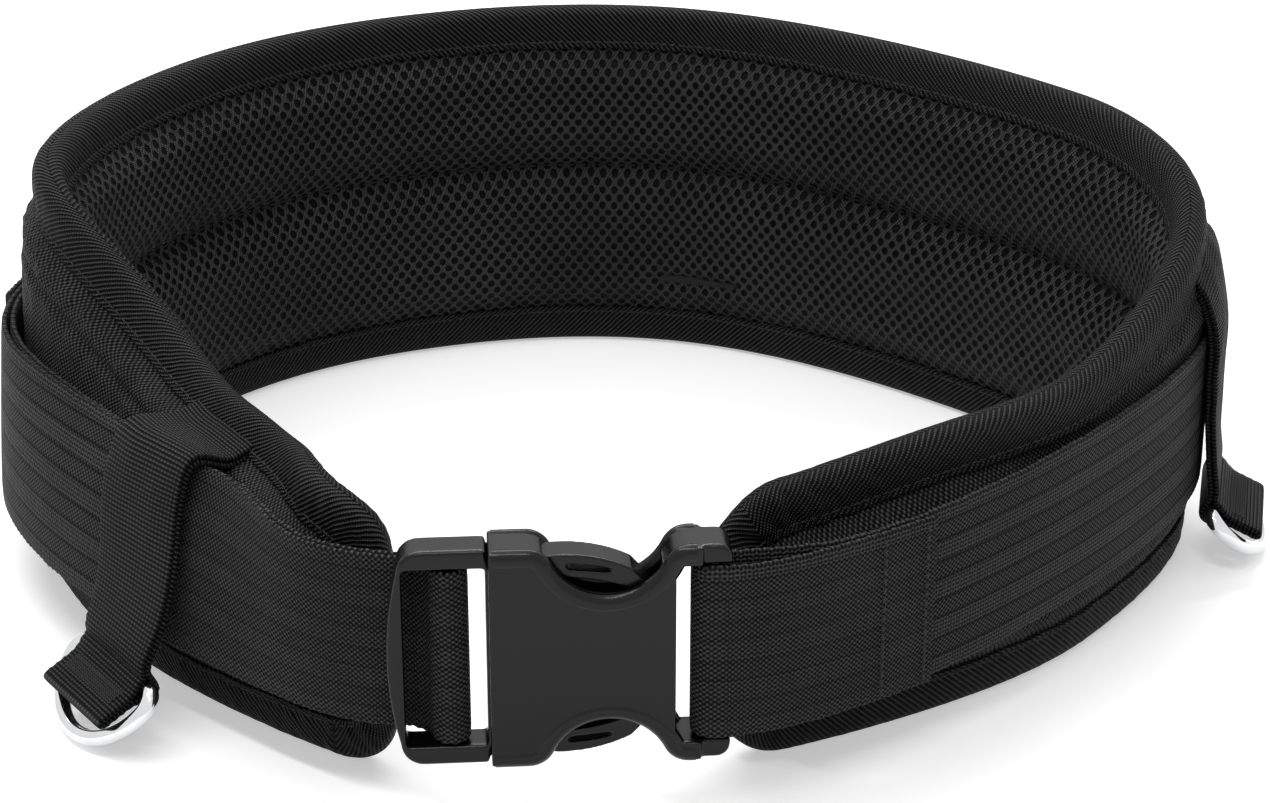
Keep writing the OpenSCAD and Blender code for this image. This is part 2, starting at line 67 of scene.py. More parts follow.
# %% Sizes of the belt
belt_w, belt_d, left_curl = 377, 340, 43
back_h, left_wing_h, right_wing_h, left_fall, right_fall = 124, 96, 88, 18, 7
corner_r, pad_t, left_gap, right_gap = 28, 14.3, 8, 16
tape_w, tape_t = 12.5, 1.15
web_w, web_t, web_low, flap_l, tail_l, hem_l = 51, 2, 24, 65, 255, 20
loop_w, loop_t, left_loop_at, right_loop_at = 34, 1.8, 91, 231
ring_w, ring_wire, tab_l, ring_tilt, tab_tilt = 40, 5, 17, 46, 24
buckle_h, mid_y, bar_r = 65, 7.5, 3.1
base_z = tape_t
web_z0 = base_z + web_low
seam_in, join_s, leave_s, selvedge_pitch = 10.6, 90.0, 18.0, 2.9
socket_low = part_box("female_buckle")[0]
origin = np.array([-18.4 - socket_low.x * 1000, -socket_low.y * 1000])
print("buckle's corner in the frame, mm:", (-origin).round(2))

# %% The plan curve and the sheet
PLAN = [(-16.5, 5.5), (-33, 22), (-41.5, 37), (-46.5, 56.5), (-31, 88), (-8, 100),
        (17, 101), (40, 82), (60, 55), (54, 36), (36, 15), (21, 3)]
left_end, right_end = np.array([-44, 15.05]), np.array([44, 6.0])


def smooth(x):
    t = np.clip(x, 0, 1)
    return t * t * (3 - 2 * t)


def spline(control, n):
    c = np.array(control, float)
    t = np.linspace(0, 1, n, endpoint=False)[:, None]
    spans = [((1 - t) ** 3 * c[i] + (3 * t ** 3 - 6 * t * t + 4) * c[i + 1]
              + (3 * t * t - 3 * t ** 3 + 3 * t + 1) * c[i + 2] + t ** 3 * c[i + 3]) / 6
             for i in range(len(c) - 3)]
    return np.concatenate(spans + [((c[-3] + 4 * c[-2] + c[-1]) / 6)[None]])


def unit(v):
    return v / np.maximum(np.linalg.norm(v, axis=-1, keepdims=True), 1e-9)


def travelled(points):
    """How far along a row of points each one is."""
    return np.concatenate([[0], np.cumsum(np.linalg.norm(np.diff(points, axis=0), axis=1))])


path = spline([left_end] * 3 + [np.array(p) * (belt_w, belt_d) / 100 for p in PLAN]
              + [right_end] * 3, 40)
run = travelled(path)
belt_l = run[-1]
facing = unit(np.gradient(path, axis=0)) @ np.array([[0, 1], [-1, 0]])


def at(s):
    return np.stack([np.interp(s, run, path[:, k]) for k in (0, 1)], -1)


def out(s):
    return unit(np.stack([np.interp(s, run, facing[:, k]) for k in (0, 1)], -1))


def gap(s):
    return (left_gap * (1 - smooth((s - 155) / 150))
            + right_gap * (1 - smooth((belt_l - s - 25) / 125)))


def pad_face(s):
    return -(web_t + 0.4 + gap(s))


def pad_top(s):
    r = belt_l - s
    left = (left_wing_h + (back_h - left_wing_h) * smooth((s - 65) / 205)
            - left_fall * (1 - smooth(s / 100)))
    right = (right_wing_h + (back_h - right_wing_h) * smooth((r - 125) / 190)
             - right_fall * (1 - smooth(r / 100)))
    return np.where(s < r, left, right)


def profile(s, h, o):
    a = np.radians(left_curl * h / left_wing_h
                   * smooth((s - 22) / 62) * (1 - smooth((s - 115) / 130)))
    a = np.where(np.abs(a) < 1e-5, 1e-5, a)
    return o * np.cos(a) - h * (1 - np.cos(a)) / a, base_z + h * np.sin(a) / a + o * np.sin(a)


def place(s, h, o):
    s, h, o = np.broadcast_arrays(np.asarray(s, float), h, o)
    d, z = profile(s, h, o)
    return np.concatenate([at(s) + out(s) * d[..., None], z[..., None]], -1)


print("webbing between the bars: %.0f mm" % belt_l)

# %% [markdown]
# ## From points to meshes
# Every cloth piece is a grid of points, so one function turns a grid into a mesh and
# stores the cloth's own millimetres as its UV map. The weaves are drawn in those
# millimetres, which keeps each thread at its real size however the cloth bends.

# %% Mesh helpers
scene = bpy.context.scene


def ripple(a, b, seed, size):
    """Soft uneven waves between about -1 and 1, the same each run."""
    r = np.random.default_rng(seed)
    total = 0
    for _ in range(6):
        kx, ky = r.normal(0, 2 * math.pi / size, 2)
        total = total + np.sin(kx * a + ky * b + r.uniform(0, 6.28))
    return total / 3


def make(name, points, faces, uv=None, material=None, flat=False):
    mesh = bpy.data.meshes.new(name)
    p = (np.asarray(points, float).reshape(-1, 3) - (*origin, 0)) / 1000
    f = np.asarray(faces, int)
    k = f.shape[1]
    mesh.vertices.add(len(p))
    mesh.vertices.foreach_set("co", p.astype(np.float32).ravel())
    mesh.loops.add(f.size)
    mesh.loops.foreach_set("vertex_index", f.ravel().astype(np.int32))
    mesh.polygons.add(len(f))
    mesh.polygons.foreach_set("loop_start", np.arange(0, f.size, k, dtype=np.int32))
    mesh.update(calc_edges=True)
    if uv is not None:
        layer = mesh.uv_layers.new(name="cloth")
        layer.data.foreach_set("uv", np.asarray(uv, np.float32).reshape(-1, 2)[f.ravel()].ravel())
    mesh.polygons.foreach_set("use_smooth", [not flat] * len(f))
    mesh.validate()
    piece = bpy.data.objects.new(name, mesh)
    scene.collection.objects.link(piece)
    if material:
        mesh.materials.append(material)
    return piece


def grid(name, points, uv, material, wrap_rows=False, wrap_columns=False):
    """A mesh from points[row, column]; wrapping repeats the first row or column."""
    P, U = np.asarray(points), np.asarray(uv, float)
    n, m = P.shape[:2]
    i, j = np.meshgrid(np.arange(n - (not wrap_rows)), np.arange(m - (not wrap_columns)),
                       indexing="ij")
    i2, j2 = (i + 1) % n, (j + 1) % m
    f = np.stack([i * m + j, i2 * m + j, i2 * m + j2, i * m + j2], -1).reshape(-1, 4)
    return make(name, P, f, U, material)


def close_ends(piece, rows, columns):
    """Caps the first and last row of a tube-like grid."""
    ends = bmesh.new()
    ends.from_mesh(piece.data)
    ends.verts.ensure_lookup_table()
    for row in (0, rows - 1):
        ends.faces.new([ends.verts[row * columns + c] for c in range(columns)])
    bmesh.ops.recalc_face_normals(ends, faces=ends.faces)
    ends.to_mesh(piece.data)
    ends.free()
    return piece


def stitches(name, points, along, up, length, width, height):
    """Short lengths of thread: each is a small rounded bar at a point."""
    P = np.asarray(points, float)
    T, N = unit(np.asarray(along, float)), unit(np.asarray(up, float))
    B = np.cross(T, N)
    ring = [(math.cos(a), math.sin(a)) for a in np.linspace(0, 2 * math.pi, 6, endpoint=False)]
    rows = [(-.5, .35), (-.3, .95), (0, 1.0), (.3, .95), (.5, .35)]
    V = np.stack([P + T * length * x + (B * c * width / 2 + N * s_ * height / 2) * k
                  for x, k in rows for c, s_ in ring], 1)
    f = [[r * 6 + c, r * 6 + (c + 1) % 6, (r + 1) * 6 + (c + 1) % 6, (r + 1) * 6 + c]
         for r in range(4) for c in range(6)]
    F = (np.arange(len(P))[:, None, None] * 30 + np.array(f)[None]).reshape(-1, 4)
    uv = np.tile(np.array([[x * length, math.atan2(s_, c)] for x, k in rows for c, s_ in ring]),
                 (len(P), 1))
    return make(name, V, F, uv, thread)


print("helpers ready")

# %% [markdown]
# ## Shader maths
# A weave is arithmetic on the cloth's millimetres. A small class lets that arithmetic
# be written as plain expressions: each operator adds one Math node.

# %% A value that flows between nodes
class Flow:
    def __init__(self, tree, socket):
        self.tree, self.socket = tree, socket

    def math(self, operation, *others):
        node = self.tree.nodes.new("ShaderNodeMath")
        node.operation = operation
        for slot, value in zip(node.inputs, (self, *others)):
            if isinstance(value, Flow):
                self.tree.links.new(value.socket, slot)
            else:
                slot.default_value = value
        return Flow(self.tree, node.outputs[0])

    def __add__(self, other): return self.math("ADD", other)
    def __sub__(self, other): return self.math("SUBTRACT", other)
    def __mul__(self, other): return self.math("MULTIPLY", other)
    def __truediv__(self, other): return self.math("DIVIDE", other)
    def __pow__(self, other): return self.math("POWER", other)
    __radd__, __rmul__ = __add__, __mul__
    def __rsub__(self, other): return self * -1.0 + other
    def wave(self, pitch): return (self * (2 * math.pi / pitch)).math("SINE")
    def size(self): return self.math("ABSOLUTE")
    def least(self, other): return self.math("MINIMUM", other)
    def most(self, other): return self.math("MAXIMUM", other)
    def part(self): return self.math("FRACT")

    def step(self, low, high):
        """0 below low and 1 above high, with a soft ramp between."""
        t = ((self - low) / (high - low)).least(1.0).most(0.0)
        return t * t * (3 - 2 * t)


class Finish:
    """A material with a Principled shader and a short way to add nodes."""
    def __init__(self, name, **fixed):
        self.material = bpy.data.materials.new(name)
        self.material.use_nodes = True
        self.tree = self.material.node_tree
        self.shader = self.tree.nodes["Principled BSDF"]
        for socket, value in fixed.items():
            self.shader.inputs[socket.replace("_", " ")].default_value = value

    def node(self, kind, settings=None, output=0, **inputs):
        node = self.tree.nodes.new("ShaderNode" + kind)
        for key, value in (settings or {}).items():
            setattr(node, key, value)
        for key, value in inputs.items():
            slot = node.inputs[int(key[1:])] if key[0] == "i" and key[1:].isdigit() \
                else node.inputs[key.replace("_", " ")]
            if isinstance(value, Flow):
                self.tree.links.new(value.socket, slot)
            else:
                slot.default_value = value
        return Flow(self.tree, node.outputs[output])

    def cloth(self):
        spot = self.node("UVMap", {"uv_map": "cloth"})
        axes = self.tree.nodes.new("ShaderNodeSeparateXYZ")
        self.tree.links.new(spot.socket, axes.inputs[0])
        return Flow(self.tree, axes.outputs[0]), Flow(self.tree, axes.outputs[1])

    def noise(self, scale, detail):
        where = self.node("TexCoord", output=3)
        return self.node("TexNoise", Vector=where, Scale=scale, Detail=detail)

    def mix(self, mask, a, b):
        return self.node("Mix", {"data_type": "RGBA"}, output=2, i0=mask, i6=(*a, 1), i7=(*b, 1))

    def finish(self, colour=None, rough=None, height=None, depth=0.0004, strength=1.0):
        for socket, value in (("Base Color", colour), ("Roughness", rough)):
            if isinstance(value, Flow):
                self.tree.links.new(value.socket, self.shader.inputs[socket])
        if height is not None:
            bump = self.node("Bump", Strength=strength, Distance=depth, Height=height)
            self.tree.links.new(bump.socket, self.shader.inputs["Normal"])
        print("finish:", self.material.name)
        return self.material


# %% [markdown]
# ## The cloths
# Five weaves make this belt. The outer shell is a plain weave, the lining is a spacer
# mesh with rows of round holes, and the tape is a herringbone whose ribs lean towards
# its middle line. The wide webbing has a ribbed face with lengthwise stripes and a
# coarse plain back, and the drop loops are ribbed across. Each is a height made of sine
# waves: the height drives both the bump and the colour. The colour mixes a shaded and a
# lit copy of the black nylon, so the hollows between threads carry painted shade and the
# raised threads a painted lit tone.

# %% Weaves
CLOTH = dict(Roughness=0.55, Sheen_Weight=0.02, Sheen_Roughness=0.4, Specular_IOR_Level=0.06)
# Shaded and lit copies of the black nylon: painted shade for the hollows of a weave, a painted lit
# tone for its raised threads.
SHADED_NYLON, LIT_NYLON = (0.0005, 0.0005, 0.0006), (0.085, 0.085, 0.087)


def plain_weave(name, pitch):
    f = Finish(name, **CLOTH)
    u, v = f.cloth()
    uneven = f.noise(90, 3)
    h = u.wave(2 * pitch) * v.wave(2 * pitch) * 0.5 + 0.5
    h = h * (uneven * 0.5 + 0.75)
    # The colour follows the height: painted shade in the hollows between threads, a painted lit
    # tone on their tops.
    return f.finish(f.mix(h.step(0.3, 1.05), SHADED_NYLON, LIT_NYLON), None, h, 0.0008)


def herringbone(name):
    f = Finish(name, **CLOTH)
    u, v = f.cloth()
    across = v.size()
    drift = f.noise(60, 2) * 0.5
    rib = (u + across * 1.1 + drift).wave(2.1) * 0.5 + 0.5
    bead = (u - across * 1.1 + drift).wave(1.3) * 0.5 + 0.5
    # The spine is a dip along the middle line, which also darkens it as painted shade.
    spine = 1 - across.step(0.0, 0.5)
    h = rib * (bead * 0.45 + 0.55) - spine * 0.3
    tone = f.noise(25, 2) * 0.3 + 0.85
    # The colour follows the height: painted shade in the hollows, a painted lit tone on the ribs.
    colour = f.mix((h * tone).step(0.3, 0.85), SHADED_NYLON, (0.095, 0.095, 0.097))
    return f.finish(colour, None, h, 0.0014)


def spacer_mesh(name):
    f = Finish(name, **CLOTH)
    u, v = f.cloth()
    wobble = f.noise(70, 2) * 0.9
    a, b = (u + wobble) / 4.85, (v + wobble) / 5.2

    def cell(x, y):
        dx, dy = (x.part() - 0.5) * 4.85, (y.part() - 0.5) * 5.2
        return (dx * dx + dy * dy) ** 0.5

    # The holes are not cut: each is a dip in the height and a round patch of painted shade; the
    # knit round them gets a painted lit tone.
    hole = cell(a + 50, b + 50).least(cell(a + 50.5, b + 50.5))
    rim = hole.step(0.9, 1.5)
    knit = (u + v * 0.5).wave(1.3) * v.wave(1.1) * 0.5 + 0.5
    h = rim * (knit * 0.5 + 0.5)
    tone = f.noise(18, 2) * 0.4 + 0.8
    return f.finish(f.mix((h * tone).step(0.4, 1.0), SHADED_NYLON, (0.1, 0.1, 0.102)), None, h, 0.0018)


def striped_webbing(name, contrast):
    f = Finish(name, **CLOTH)
    u, v = f.cloth()
    band = ((v + 1.2).wave(12.2) * 2.5 + 0.4).least(1.0).most(-1.0) * 0.5 + 0.5
    dots = u.wave(1.7) * v.wave(1.5) * 0.5 + 0.5
    smooth_face = (v.wave(1.25) * 0.2 + u.wave(1.1) * 0.14) + 0.55
    blend_in = band * contrast
    tone = f.noise(30, 3) * 0.4 + 0.8
    # Groove between the stripes: a dip in the height, and painted shade in the colour.
    groove = (1 - (band - 0.5).size().step(0.1, 0.48)) * contrast * 0.7
    h = (smooth_face * blend_in + dots * (1 - blend_in)) * (1 - groove)
    # The colour follows the height: painted shade in the hollows, a painted lit tone on the raised
    # weave.
    return f.finish(f.mix((h * tone).step(0.3, 0.9), SHADED_NYLON, LIT_NYLON), None, h, 0.0011)


def cross_ribbed(name):
    f = Finish(name, **CLOTH)
    u, v = f.cloth()
    rib = (u + f.noise(40, 2) * 0.5).wave(1.25) * 0.5 + 0.5
    cord = v.wave(1.5) * 0.5 + 0.5
    h = rib * (cord * 0.45 + 0.55)
    tone = f.noise(30, 3) * 0.4 + 0.8
    # The colour follows the height: painted shade between the ribs, a painted lit tone on them.
    return f.finish(f.mix((h * tone).step(0.3, 0.95), SHADED_NYLON, (0.075, 0.075, 0.077)),
                    None, h, 0.0009)


shell_cloth = plain_weave("plain nylon", 0.85)
tape_cloth = herringbone("herringbone tape")
mesh_cloth = spacer_mesh("spacer mesh")
webbing_cloth = striped_webbing("striped webbing", 0.7)
webbing_back = striped_webbing("webbing back", 0.25)
loop_cloth = cross_ribbed("loop webbing")

# %% [markdown]
# Sewing thread is a twisted cord, so fine slanted waves run round it. The buckle is
# moulded in black acetal with a satin spark finish: a very fine pebbled bump breaks up
# its highlights. The rings are chromed steel, bright and nearly smooth, with the faint
# unevenness of a bent wire.

# %% Thread, plastic and chrome
f = Finish("sewing thread", **CLOTH)
u, v = f.cloth()
twist = (u * 0.9 + v * 0.25).wave(0.7) * 0.5 + 0.5
# The colour follows the twist: painted shade in its grooves, a painted lit tone on its ridges.
thread = f.finish(f.mix(twist, (0.003, 0.003, 0.0032), (0.09, 0.09, 0.092)), None, twist, 0.0002)

f = Finish("satin acetal", Roughness=0.3, Specular_IOR_Level=0.27)
pebble = f.noise(1400, 2)
cloud = f.noise(35, 3)
plastic = f.finish(f.mix(cloud, (0.0015, 0.0015, 0.0016), (0.003, 0.003, 0.0031)),
                   cloud * 0.1 + 0.2, pebble, 0.00008, 0.6)

f = Finish("polished chrome", Metallic=1.0, Base_Color=(0.72, 0.73, 0.74, 1), Roughness=0.08)
haze = f.noise(120, 3)
chrome = f.finish(f.mix(haze, (0.62, 0.63, 0.64), (0.8, 0.8, 0.81)), haze * 0.1 + 0.05,
                  f.noise(160, 2), 0.00006)

# %% [markdown]
# ## The pad
# The pad is foam between an outer shell of plain nylon and a spacer-mesh lining. A
# cushion could be inflated by a cloth simulation, but this one is only 14 mm thick
# and a metre long, so a remesh coarse enough to simulate would lose the narrow seams
# that give it its character. Instead each face is crowned directly: the depth of a
# point comes from its distance to the sewn edge, with the seams pressed in, the
# lobes raised, and puckers gathered along every line of stitches.

# %% Distance to the sewn edge
def rim_inset(s, u):
    r = corner_r - u
    d = np.clip(np.minimum(s, belt_l - s) - u, 0, r)
    return u + r - np.sqrt(np.maximum(r * r - (r - d) ** 2, 0))


def edge_distance(s, h):
    top = pad_top(s)
    x, y = np.minimum(s, belt_l - s), np.minimum(h, top - h)
    nearest = np.minimum(x, y)
    inner = corner_r - np.hypot(np.maximum(corner_r - x, 0), np.maximum(corner_r - y, 0))
    return np.where((x < corner_r) & (y < corner_r), inner, np.minimum(nearest, corner_r + 20))


def pad_rows(inset, columns):
    q = np.radians(np.linspace(0, 86, 24))
    ends = inset + (corner_r - inset) * (1 - np.cos(q))
    middle = np.arange(corner_r + 0.5, belt_l - corner_r, 1.2)
    s = np.concatenate([ends, middle, belt_l - ends[::-1]])
    low = rim_inset(s, inset)
    high = pad_top(s) - low
    h = low[:, None] + (high - low)[:, None] * np.linspace(0, 1, columns)
    return np.broadcast_to(s[:, None], h.shape), h


def press(distance, width):
    return np.exp(-(distance / width) ** 2)


def squeeze_in(e):
    """How much thinner each side of the pad is, e in from its sewn edge."""
    return 3.0 * (1 - smooth((e - 4) / 24))


# %% Outer face and lining
def closed_pad(name, s, h, depth, material):
    """A crowned face whose back lies on the pad's middle plane, closed at both ends."""
    mid = pad_face(s) - pad_t / 2
    face = place(s, h, mid + depth)
    back_cols = np.linspace(s.shape[1] - 1, 0, 8).astype(int)
    inside = mid + np.sign(depth.mean()) * 0.1
    back = place(s[:, back_cols], h[:, back_cols], inside[:, back_cols])
    uv = np.stack([s, h], -1)
    piece = grid(name, np.concatenate([face, back], 1),
                 np.concatenate([uv, uv[:, back_cols]], 1), material, wrap_columns=True)
    return close_ends(piece, len(s), face.shape[1] + len(back_cols))


s, h = pad_rows(6.0, 120)
e = edge_distance(s, h)
clear = np.maximum(smooth((h - web_low - web_w - 2) / 6), 1 - smooth((h - 14) / 8))
clear = np.maximum(clear, smooth((gap(s) - 1.5) / 4))
rise = smooth((e - 11.5) / 8)
crown = (-squeeze_in(e) - 0.5 + 0.65 * rise + (1.5 + 0.3 * gap(s)) * clear * rise
         - 1.5 * press(e - 24, 1.5) * (0.3 + 0.7 * clear)
         + clear * rise * (0.28 * ripple(s, h, 3, 26) + 0.14 * ripple(s, h, 4, 9))
         + 0.3 * clear * press(e - 17, 5) * ripple(s, h, 5, 7)
         + 0.22 * clear * press(e - 24, 4) * ripple(s, h * 0.3, 6, 5.5))
pad_shell = closed_pad("pad_shell", s, h, pad_t / 2 + crown, shell_cloth)

channel = 0.54
dc = np.abs(h - pad_top(s) * channel)
lobe = smooth((e - 11.5) / 12) * smooth(dc / 15)
tack_s, tack_h = belt_l / 2 + 34, 26.5
bar_dent = press(h - tack_h, 2.4) * (1 - smooth((np.abs(s - tack_s) - 15) / 3))
hollow = (-squeeze_in(e) - 0.5 + 4.0 * lobe - 3.3 * press(dc, 2.8) - 2.4 * bar_dent
          + 0.35 * lobe * ripple(s, h, 7, 30) + 0.16 * ripple(s, h, 8, 9)
          + 0.55 * press(dc - 5, 5) * ripple(s, h * 0.25, 9, 7)
          + 0.4 * press(e - 16, 4) * ripple(s, h, 10, 8))
pad_lining = closed_pad("pad_lining", s, h, -(pad_t / 2 + hollow), mesh_cloth)
shell_nodes = ("foam_core_left", "foam_core_right", "outer_shell")
for piece, nodes, slot_name in ((pad_shell, shell_nodes, "shell_cloth"),
                                (pad_lining, ("inner_lining",), "mesh_cloth")):
    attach(piece, "belt")
    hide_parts(*nodes)
print("pad faces:", len(pad_shell.data.polygons) + len(pad_lining.data.polygons))

# %% [markdown]
# ## Edge binding
# A herringbone tape is folded over the cut edges of all three layers and held by one
# lockstitch seam. It is a rounded U swept along the outline of the pad. The seam
# squeezes the foam, so the tape is fattest at the rim and dips along its stitches,
# and it puckers most where it turns the corners.

# %% The pad's outline and the tape round it
q = np.radians(np.linspace(0, 90, 40))
r = corner_r
bow, drop = r * np.sin(q), r * (1 - np.cos(q))
along = np.arange(r + 1.0, belt_l - r, 1.0)
side_up = np.arange(r + 1.0, pad_top(belt_l) - r, 1.0)
side_down = np.arange(pad_top(0.0) - r, r, -1.0)
outline = np.concatenate([
    np.stack([along, 0 * along], 1), np.stack([belt_l - r + bow, drop], 1),
    np.stack([0 * side_up + belt_l, side_up], 1),
    np.stack([belt_l - r + bow[::-1], pad_top(belt_l - r + bow[::-1]) - drop[::-1]], 1),
    np.stack([along[::-1], pad_top(along[::-1])], 1),
    np.stack([r - bow, pad_top(r - bow) - drop], 1),
    np.stack([0 * side_down, side_down], 1), np.stack([r - bow[::-1], drop[::-1]], 1)])


def walk(points, pitch):
    """A closed outline resampled at an even pitch, with its inward directions."""
    p = np.concatenate([points, points[:1]])
    d = travelled(p)
    n = int(round(d[-1] / pitch))
    t = np.arange(n) * d[-1] / n
    q = np.stack([np.interp(t, d, p[:, k]) for k in (0, 1)], 1)
    for _ in range(6):
        q = (np.roll(q, 1, 0) + 2 * q + np.roll(q, -1, 0)) / 4
    v = unit(np.roll(q, -1, 0) - np.roll(q, 1, 0))
    return q, np.stack([-v[:, 1], v[:, 0]], 1), t


def on_rim(q, inward, u, o):
    """Points u in from the outline and o outward of the pad's middle plane."""
    spot = q + inward * np.asarray(u)[..., None]
    return place(spot[..., 0], spot[..., 1], pad_face(q[..., 0]) - pad_t / 2 + o)


def dip(u):
    """How far the tape's face is from the pad's middle plane, u in from the rim."""
    return pad_t / 2 + tape_t - squeeze_in(u) - 0.75 * press(u - seam_in, 2.0)


rim, inward, rim_at = walk(outline, 1.0)
turn = np.radians(np.linspace(90, -90, 27))
flat_u = np.linspace(tape_w, 6.2, 9)[:-1]
arc_u = 5.8 - 6.95 * np.abs(np.cos(turn)) ** 0.78
arc_o = dip(6.0) * np.sign(np.sin(turn)) * np.abs(np.sin(turn)) ** 0.78
sec_u = np.concatenate([[tape_w, tape_w + .25, tape_w], flat_u, arc_u, flat_u[::-1],
                        [tape_w, tape_w + .25, tape_w]])
sec_o = np.concatenate([dip(tape_w) - [1.6, .7, .15], dip(flat_u), arc_o, -dip(flat_u)[::-1],
                        -(dip(tape_w) - np.array([.15, .7, 1.6]))])
across = travelled(np.stack([sec_u, sec_o], 1))
across = across - across[-1] / 2
near_end = 1 - smooth((np.minimum(rim[:, 0], belt_l - rim[:, 0]) - 20) / 60)
U, T = np.meshgrid(across, rim_at)
pucker = (0.16 + 0.34 * near_end)[:, None] * ripple(T, U * 0.6, 21, 9) \
    + (0.1 + 0.35 * near_end)[:, None] * ripple(T, U * 0.3, 22, 17)
rounding = press(np.abs(across) - across[-1] * 0.62, 9)
side = np.sign(sec_o) * np.minimum(1, np.abs(sec_o) / 6)
spot_u = sec_u + 0.3 * ripple(T, 0 * T, 23, 12) * (np.abs(across) > 16)
spot_o = sec_o + pucker * side * rounding
rims, inwards = (np.repeat(v[:, None], len(sec_u), 1) for v in (rim, inward))
mirrored = np.abs(T - rim_at[-1] / 2 + belt_l * 0.02)
binding = grid("edge_binding_tape", on_rim(rims, inwards, spot_u, spot_o),
               np.stack([mirrored, U], -1), tape_cloth, wrap_rows=True)
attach(binding, "belt")
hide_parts("edge_binding_left", "edge_binding_right")
print("tape round the pad: %.2f m" % (rim_at[-1] / 1000))


# %% Seams of the tape and the lining
def seam(name, points, up, pitch, length, node, width=0.75, height=0.5):
    d = travelled(points)
    t = np.arange(pitch / 2, d[-1], pitch)
    p = np.stack([np.interp(t, d, points[:, k]) for k in range(3)], 1)
    n = np.stack([np.interp(t, d, up[:, k]) for k in range(3)], 1)
    v = np.stack([np.interp(np.minimum(t + .5, d[-1]), d, points[:, k]) for k in range(3)], 1) - p
    piece = stitches(name, p, v, n, length, width, height)
    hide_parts(node)
    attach(piece, "belt")


for name, sign, node in (("tape_stitches_outer", 1, "binding_seam_outer"),
                         ("tape_stitches_inner", -1, "binding_seam_inner")):
    o = sign * (dip(seam_in) + 0.02)
    line = on_rim(rim, inward, np.full(len(rim), seam_in), np.full(len(rim), o))
    lifted = on_rim(rim, inward, np.full(len(rim), seam_in), np.full(len(rim), o + sign))
    seam(name, line, lifted - line, 3.3, 2.7, node)

s1 = np.arange(16, belt_l - 16, 1.0)
h1 = pad_top(s1) * channel
o1 = pad_face(s1) - pad_t + 3.75
line = place(s1, h1, o1)
seam("channel_stitches", line, line - place(s1, h1, o1 + 1), 3.6, 2.9, "lining_channel_seam")
s1 = np.linspace(tack_s - 16, tack_s + 16, 64)
zig = tack_h + 1.2 * np.where(np.arange(64) % 2, 1, -1)
o1 = pad_face(s1) - pad_t - 1.5
line = place(s1, zig, o1)
seam("lining_tack", line, line - place(s1, zig, o1 + 1), 0.6, 1.3, "back_tack", 0.7, 0.9)
print("tape, channel and lining seams stitched")

# %% [markdown]
# ## Webbing
# The main webbing is one woven strip: it leaves the plug, runs round the pad, turns
# round the socket's bar and is sewn back on itself. Near the plug it folds back as the
# adjustable tail. A strip could be a curve with a flat bevel, but its selvedges would
# be dead straight. Here each cross-section is a row of a grid, so the selvedge can
# bulge and the weave's tension can scallop it.

# %% Cross-section of a woven strip
def strip_section(width, thick):
    k = 17
    flat = np.linspace(-.5, .5, k)
    side = np.concatenate([flat * width, width / 2 + thick * np.array([.22, .3, .22]),
                           -flat * width, -width / 2 - thick * np.array([.22, .3, .22])])
    rounded = [.28, 0, -.28]
    deep = np.concatenate([np.full(k, .5), rounded, np.full(k, -.5), rounded[::-1]]) * thick
    deep[[0, k - 1, k + 3, 2 * k + 2]] *= 0.84
    return side, deep, np.sign(side) * (np.abs(side) > width * 0.47)


def strip(name, rows, u, width, material, inner=None):
    """rows[station, section point]; both ends are closed, and the inner face of the
    weave may differ from the outer one."""
    side = strip_section(width, 1)[0]
    piece = grid(name, rows, np.stack(np.broadcast_arrays(u[:, None], side[None] + width / 2), -1),
                 material, wrap_columns=True)
    n, m = rows.shape[:2]
    if inner:
        piece.data.materials.append(inner)
        column = np.arange(len(piece.data.polygons)) % m
        piece.data.polygons.foreach_set("material_index", (column > m / 2).astype(np.int32))
    return close_ends(piece, n, m)


def turned(v):
    v = unit(np.gradient(v, axis=0))
    return np.stack([-v[:, 1], v[:, 0]], 1)


def webbing_section(u):
    """The depth and the height of each section point, with a waver in the selvedges."""
    side, deep, edge = strip_section(web_w, web_t)
    waver = 0.22 * np.sin(u * 2 * math.pi / selvedge_pitch) + 0.15 * ripple(u, 0 * u, 31, 14)
    return deep, web_low + web_w / 2 + side[None] + edge[None] * waver[:, None]


def cloth_rows(path_s, path_o, u):
    """Webbing along a path given on the sheet."""
    deep, h = webbing_section(u)
    n = turned(np.stack([path_s, path_o], 1))
    return place(path_s[:, None] + n[:, :1] * deep, h, path_o[:, None] + n[:, 1:] * deep)


def upright_rows(path_xy, u):
    """Webbing that stands upright along a path seen from above."""
    deep, h = webbing_section(u)
    xy = path_xy[:, None] + turned(path_xy)[:, None] * deep[None, :, None]
    return np.concatenate([xy, np.broadcast_to(base_z + h, xy.shape[:2])[..., None]], -1)


def lengths(*paths, between=0.4):
    """Running length through several paths laid end to end, a short way between."""
    done, start = [], 0.0
    for p in paths:
        d = travelled(p)
        done.append(start + d)
        start += d[-1] + between
    return done


# %% Main webbing and its sewn flap
def to_frame(x, y, z):
    """A point in millimetres from the buckle's frame, in metres in the CAD's frame."""
    return (x - origin[0]) / 1000, (y - origin[1]) / 1000, z / 1000


ply = 0.15
bar = np.array([41.0, right_end[1]])
bar_turn = bar_r + 0.3 + web_t / 2


def spread(s):
    return (bar_turn - web_t / 2 - ply / 2) * smooth((s - belt_l + 42) / 42)


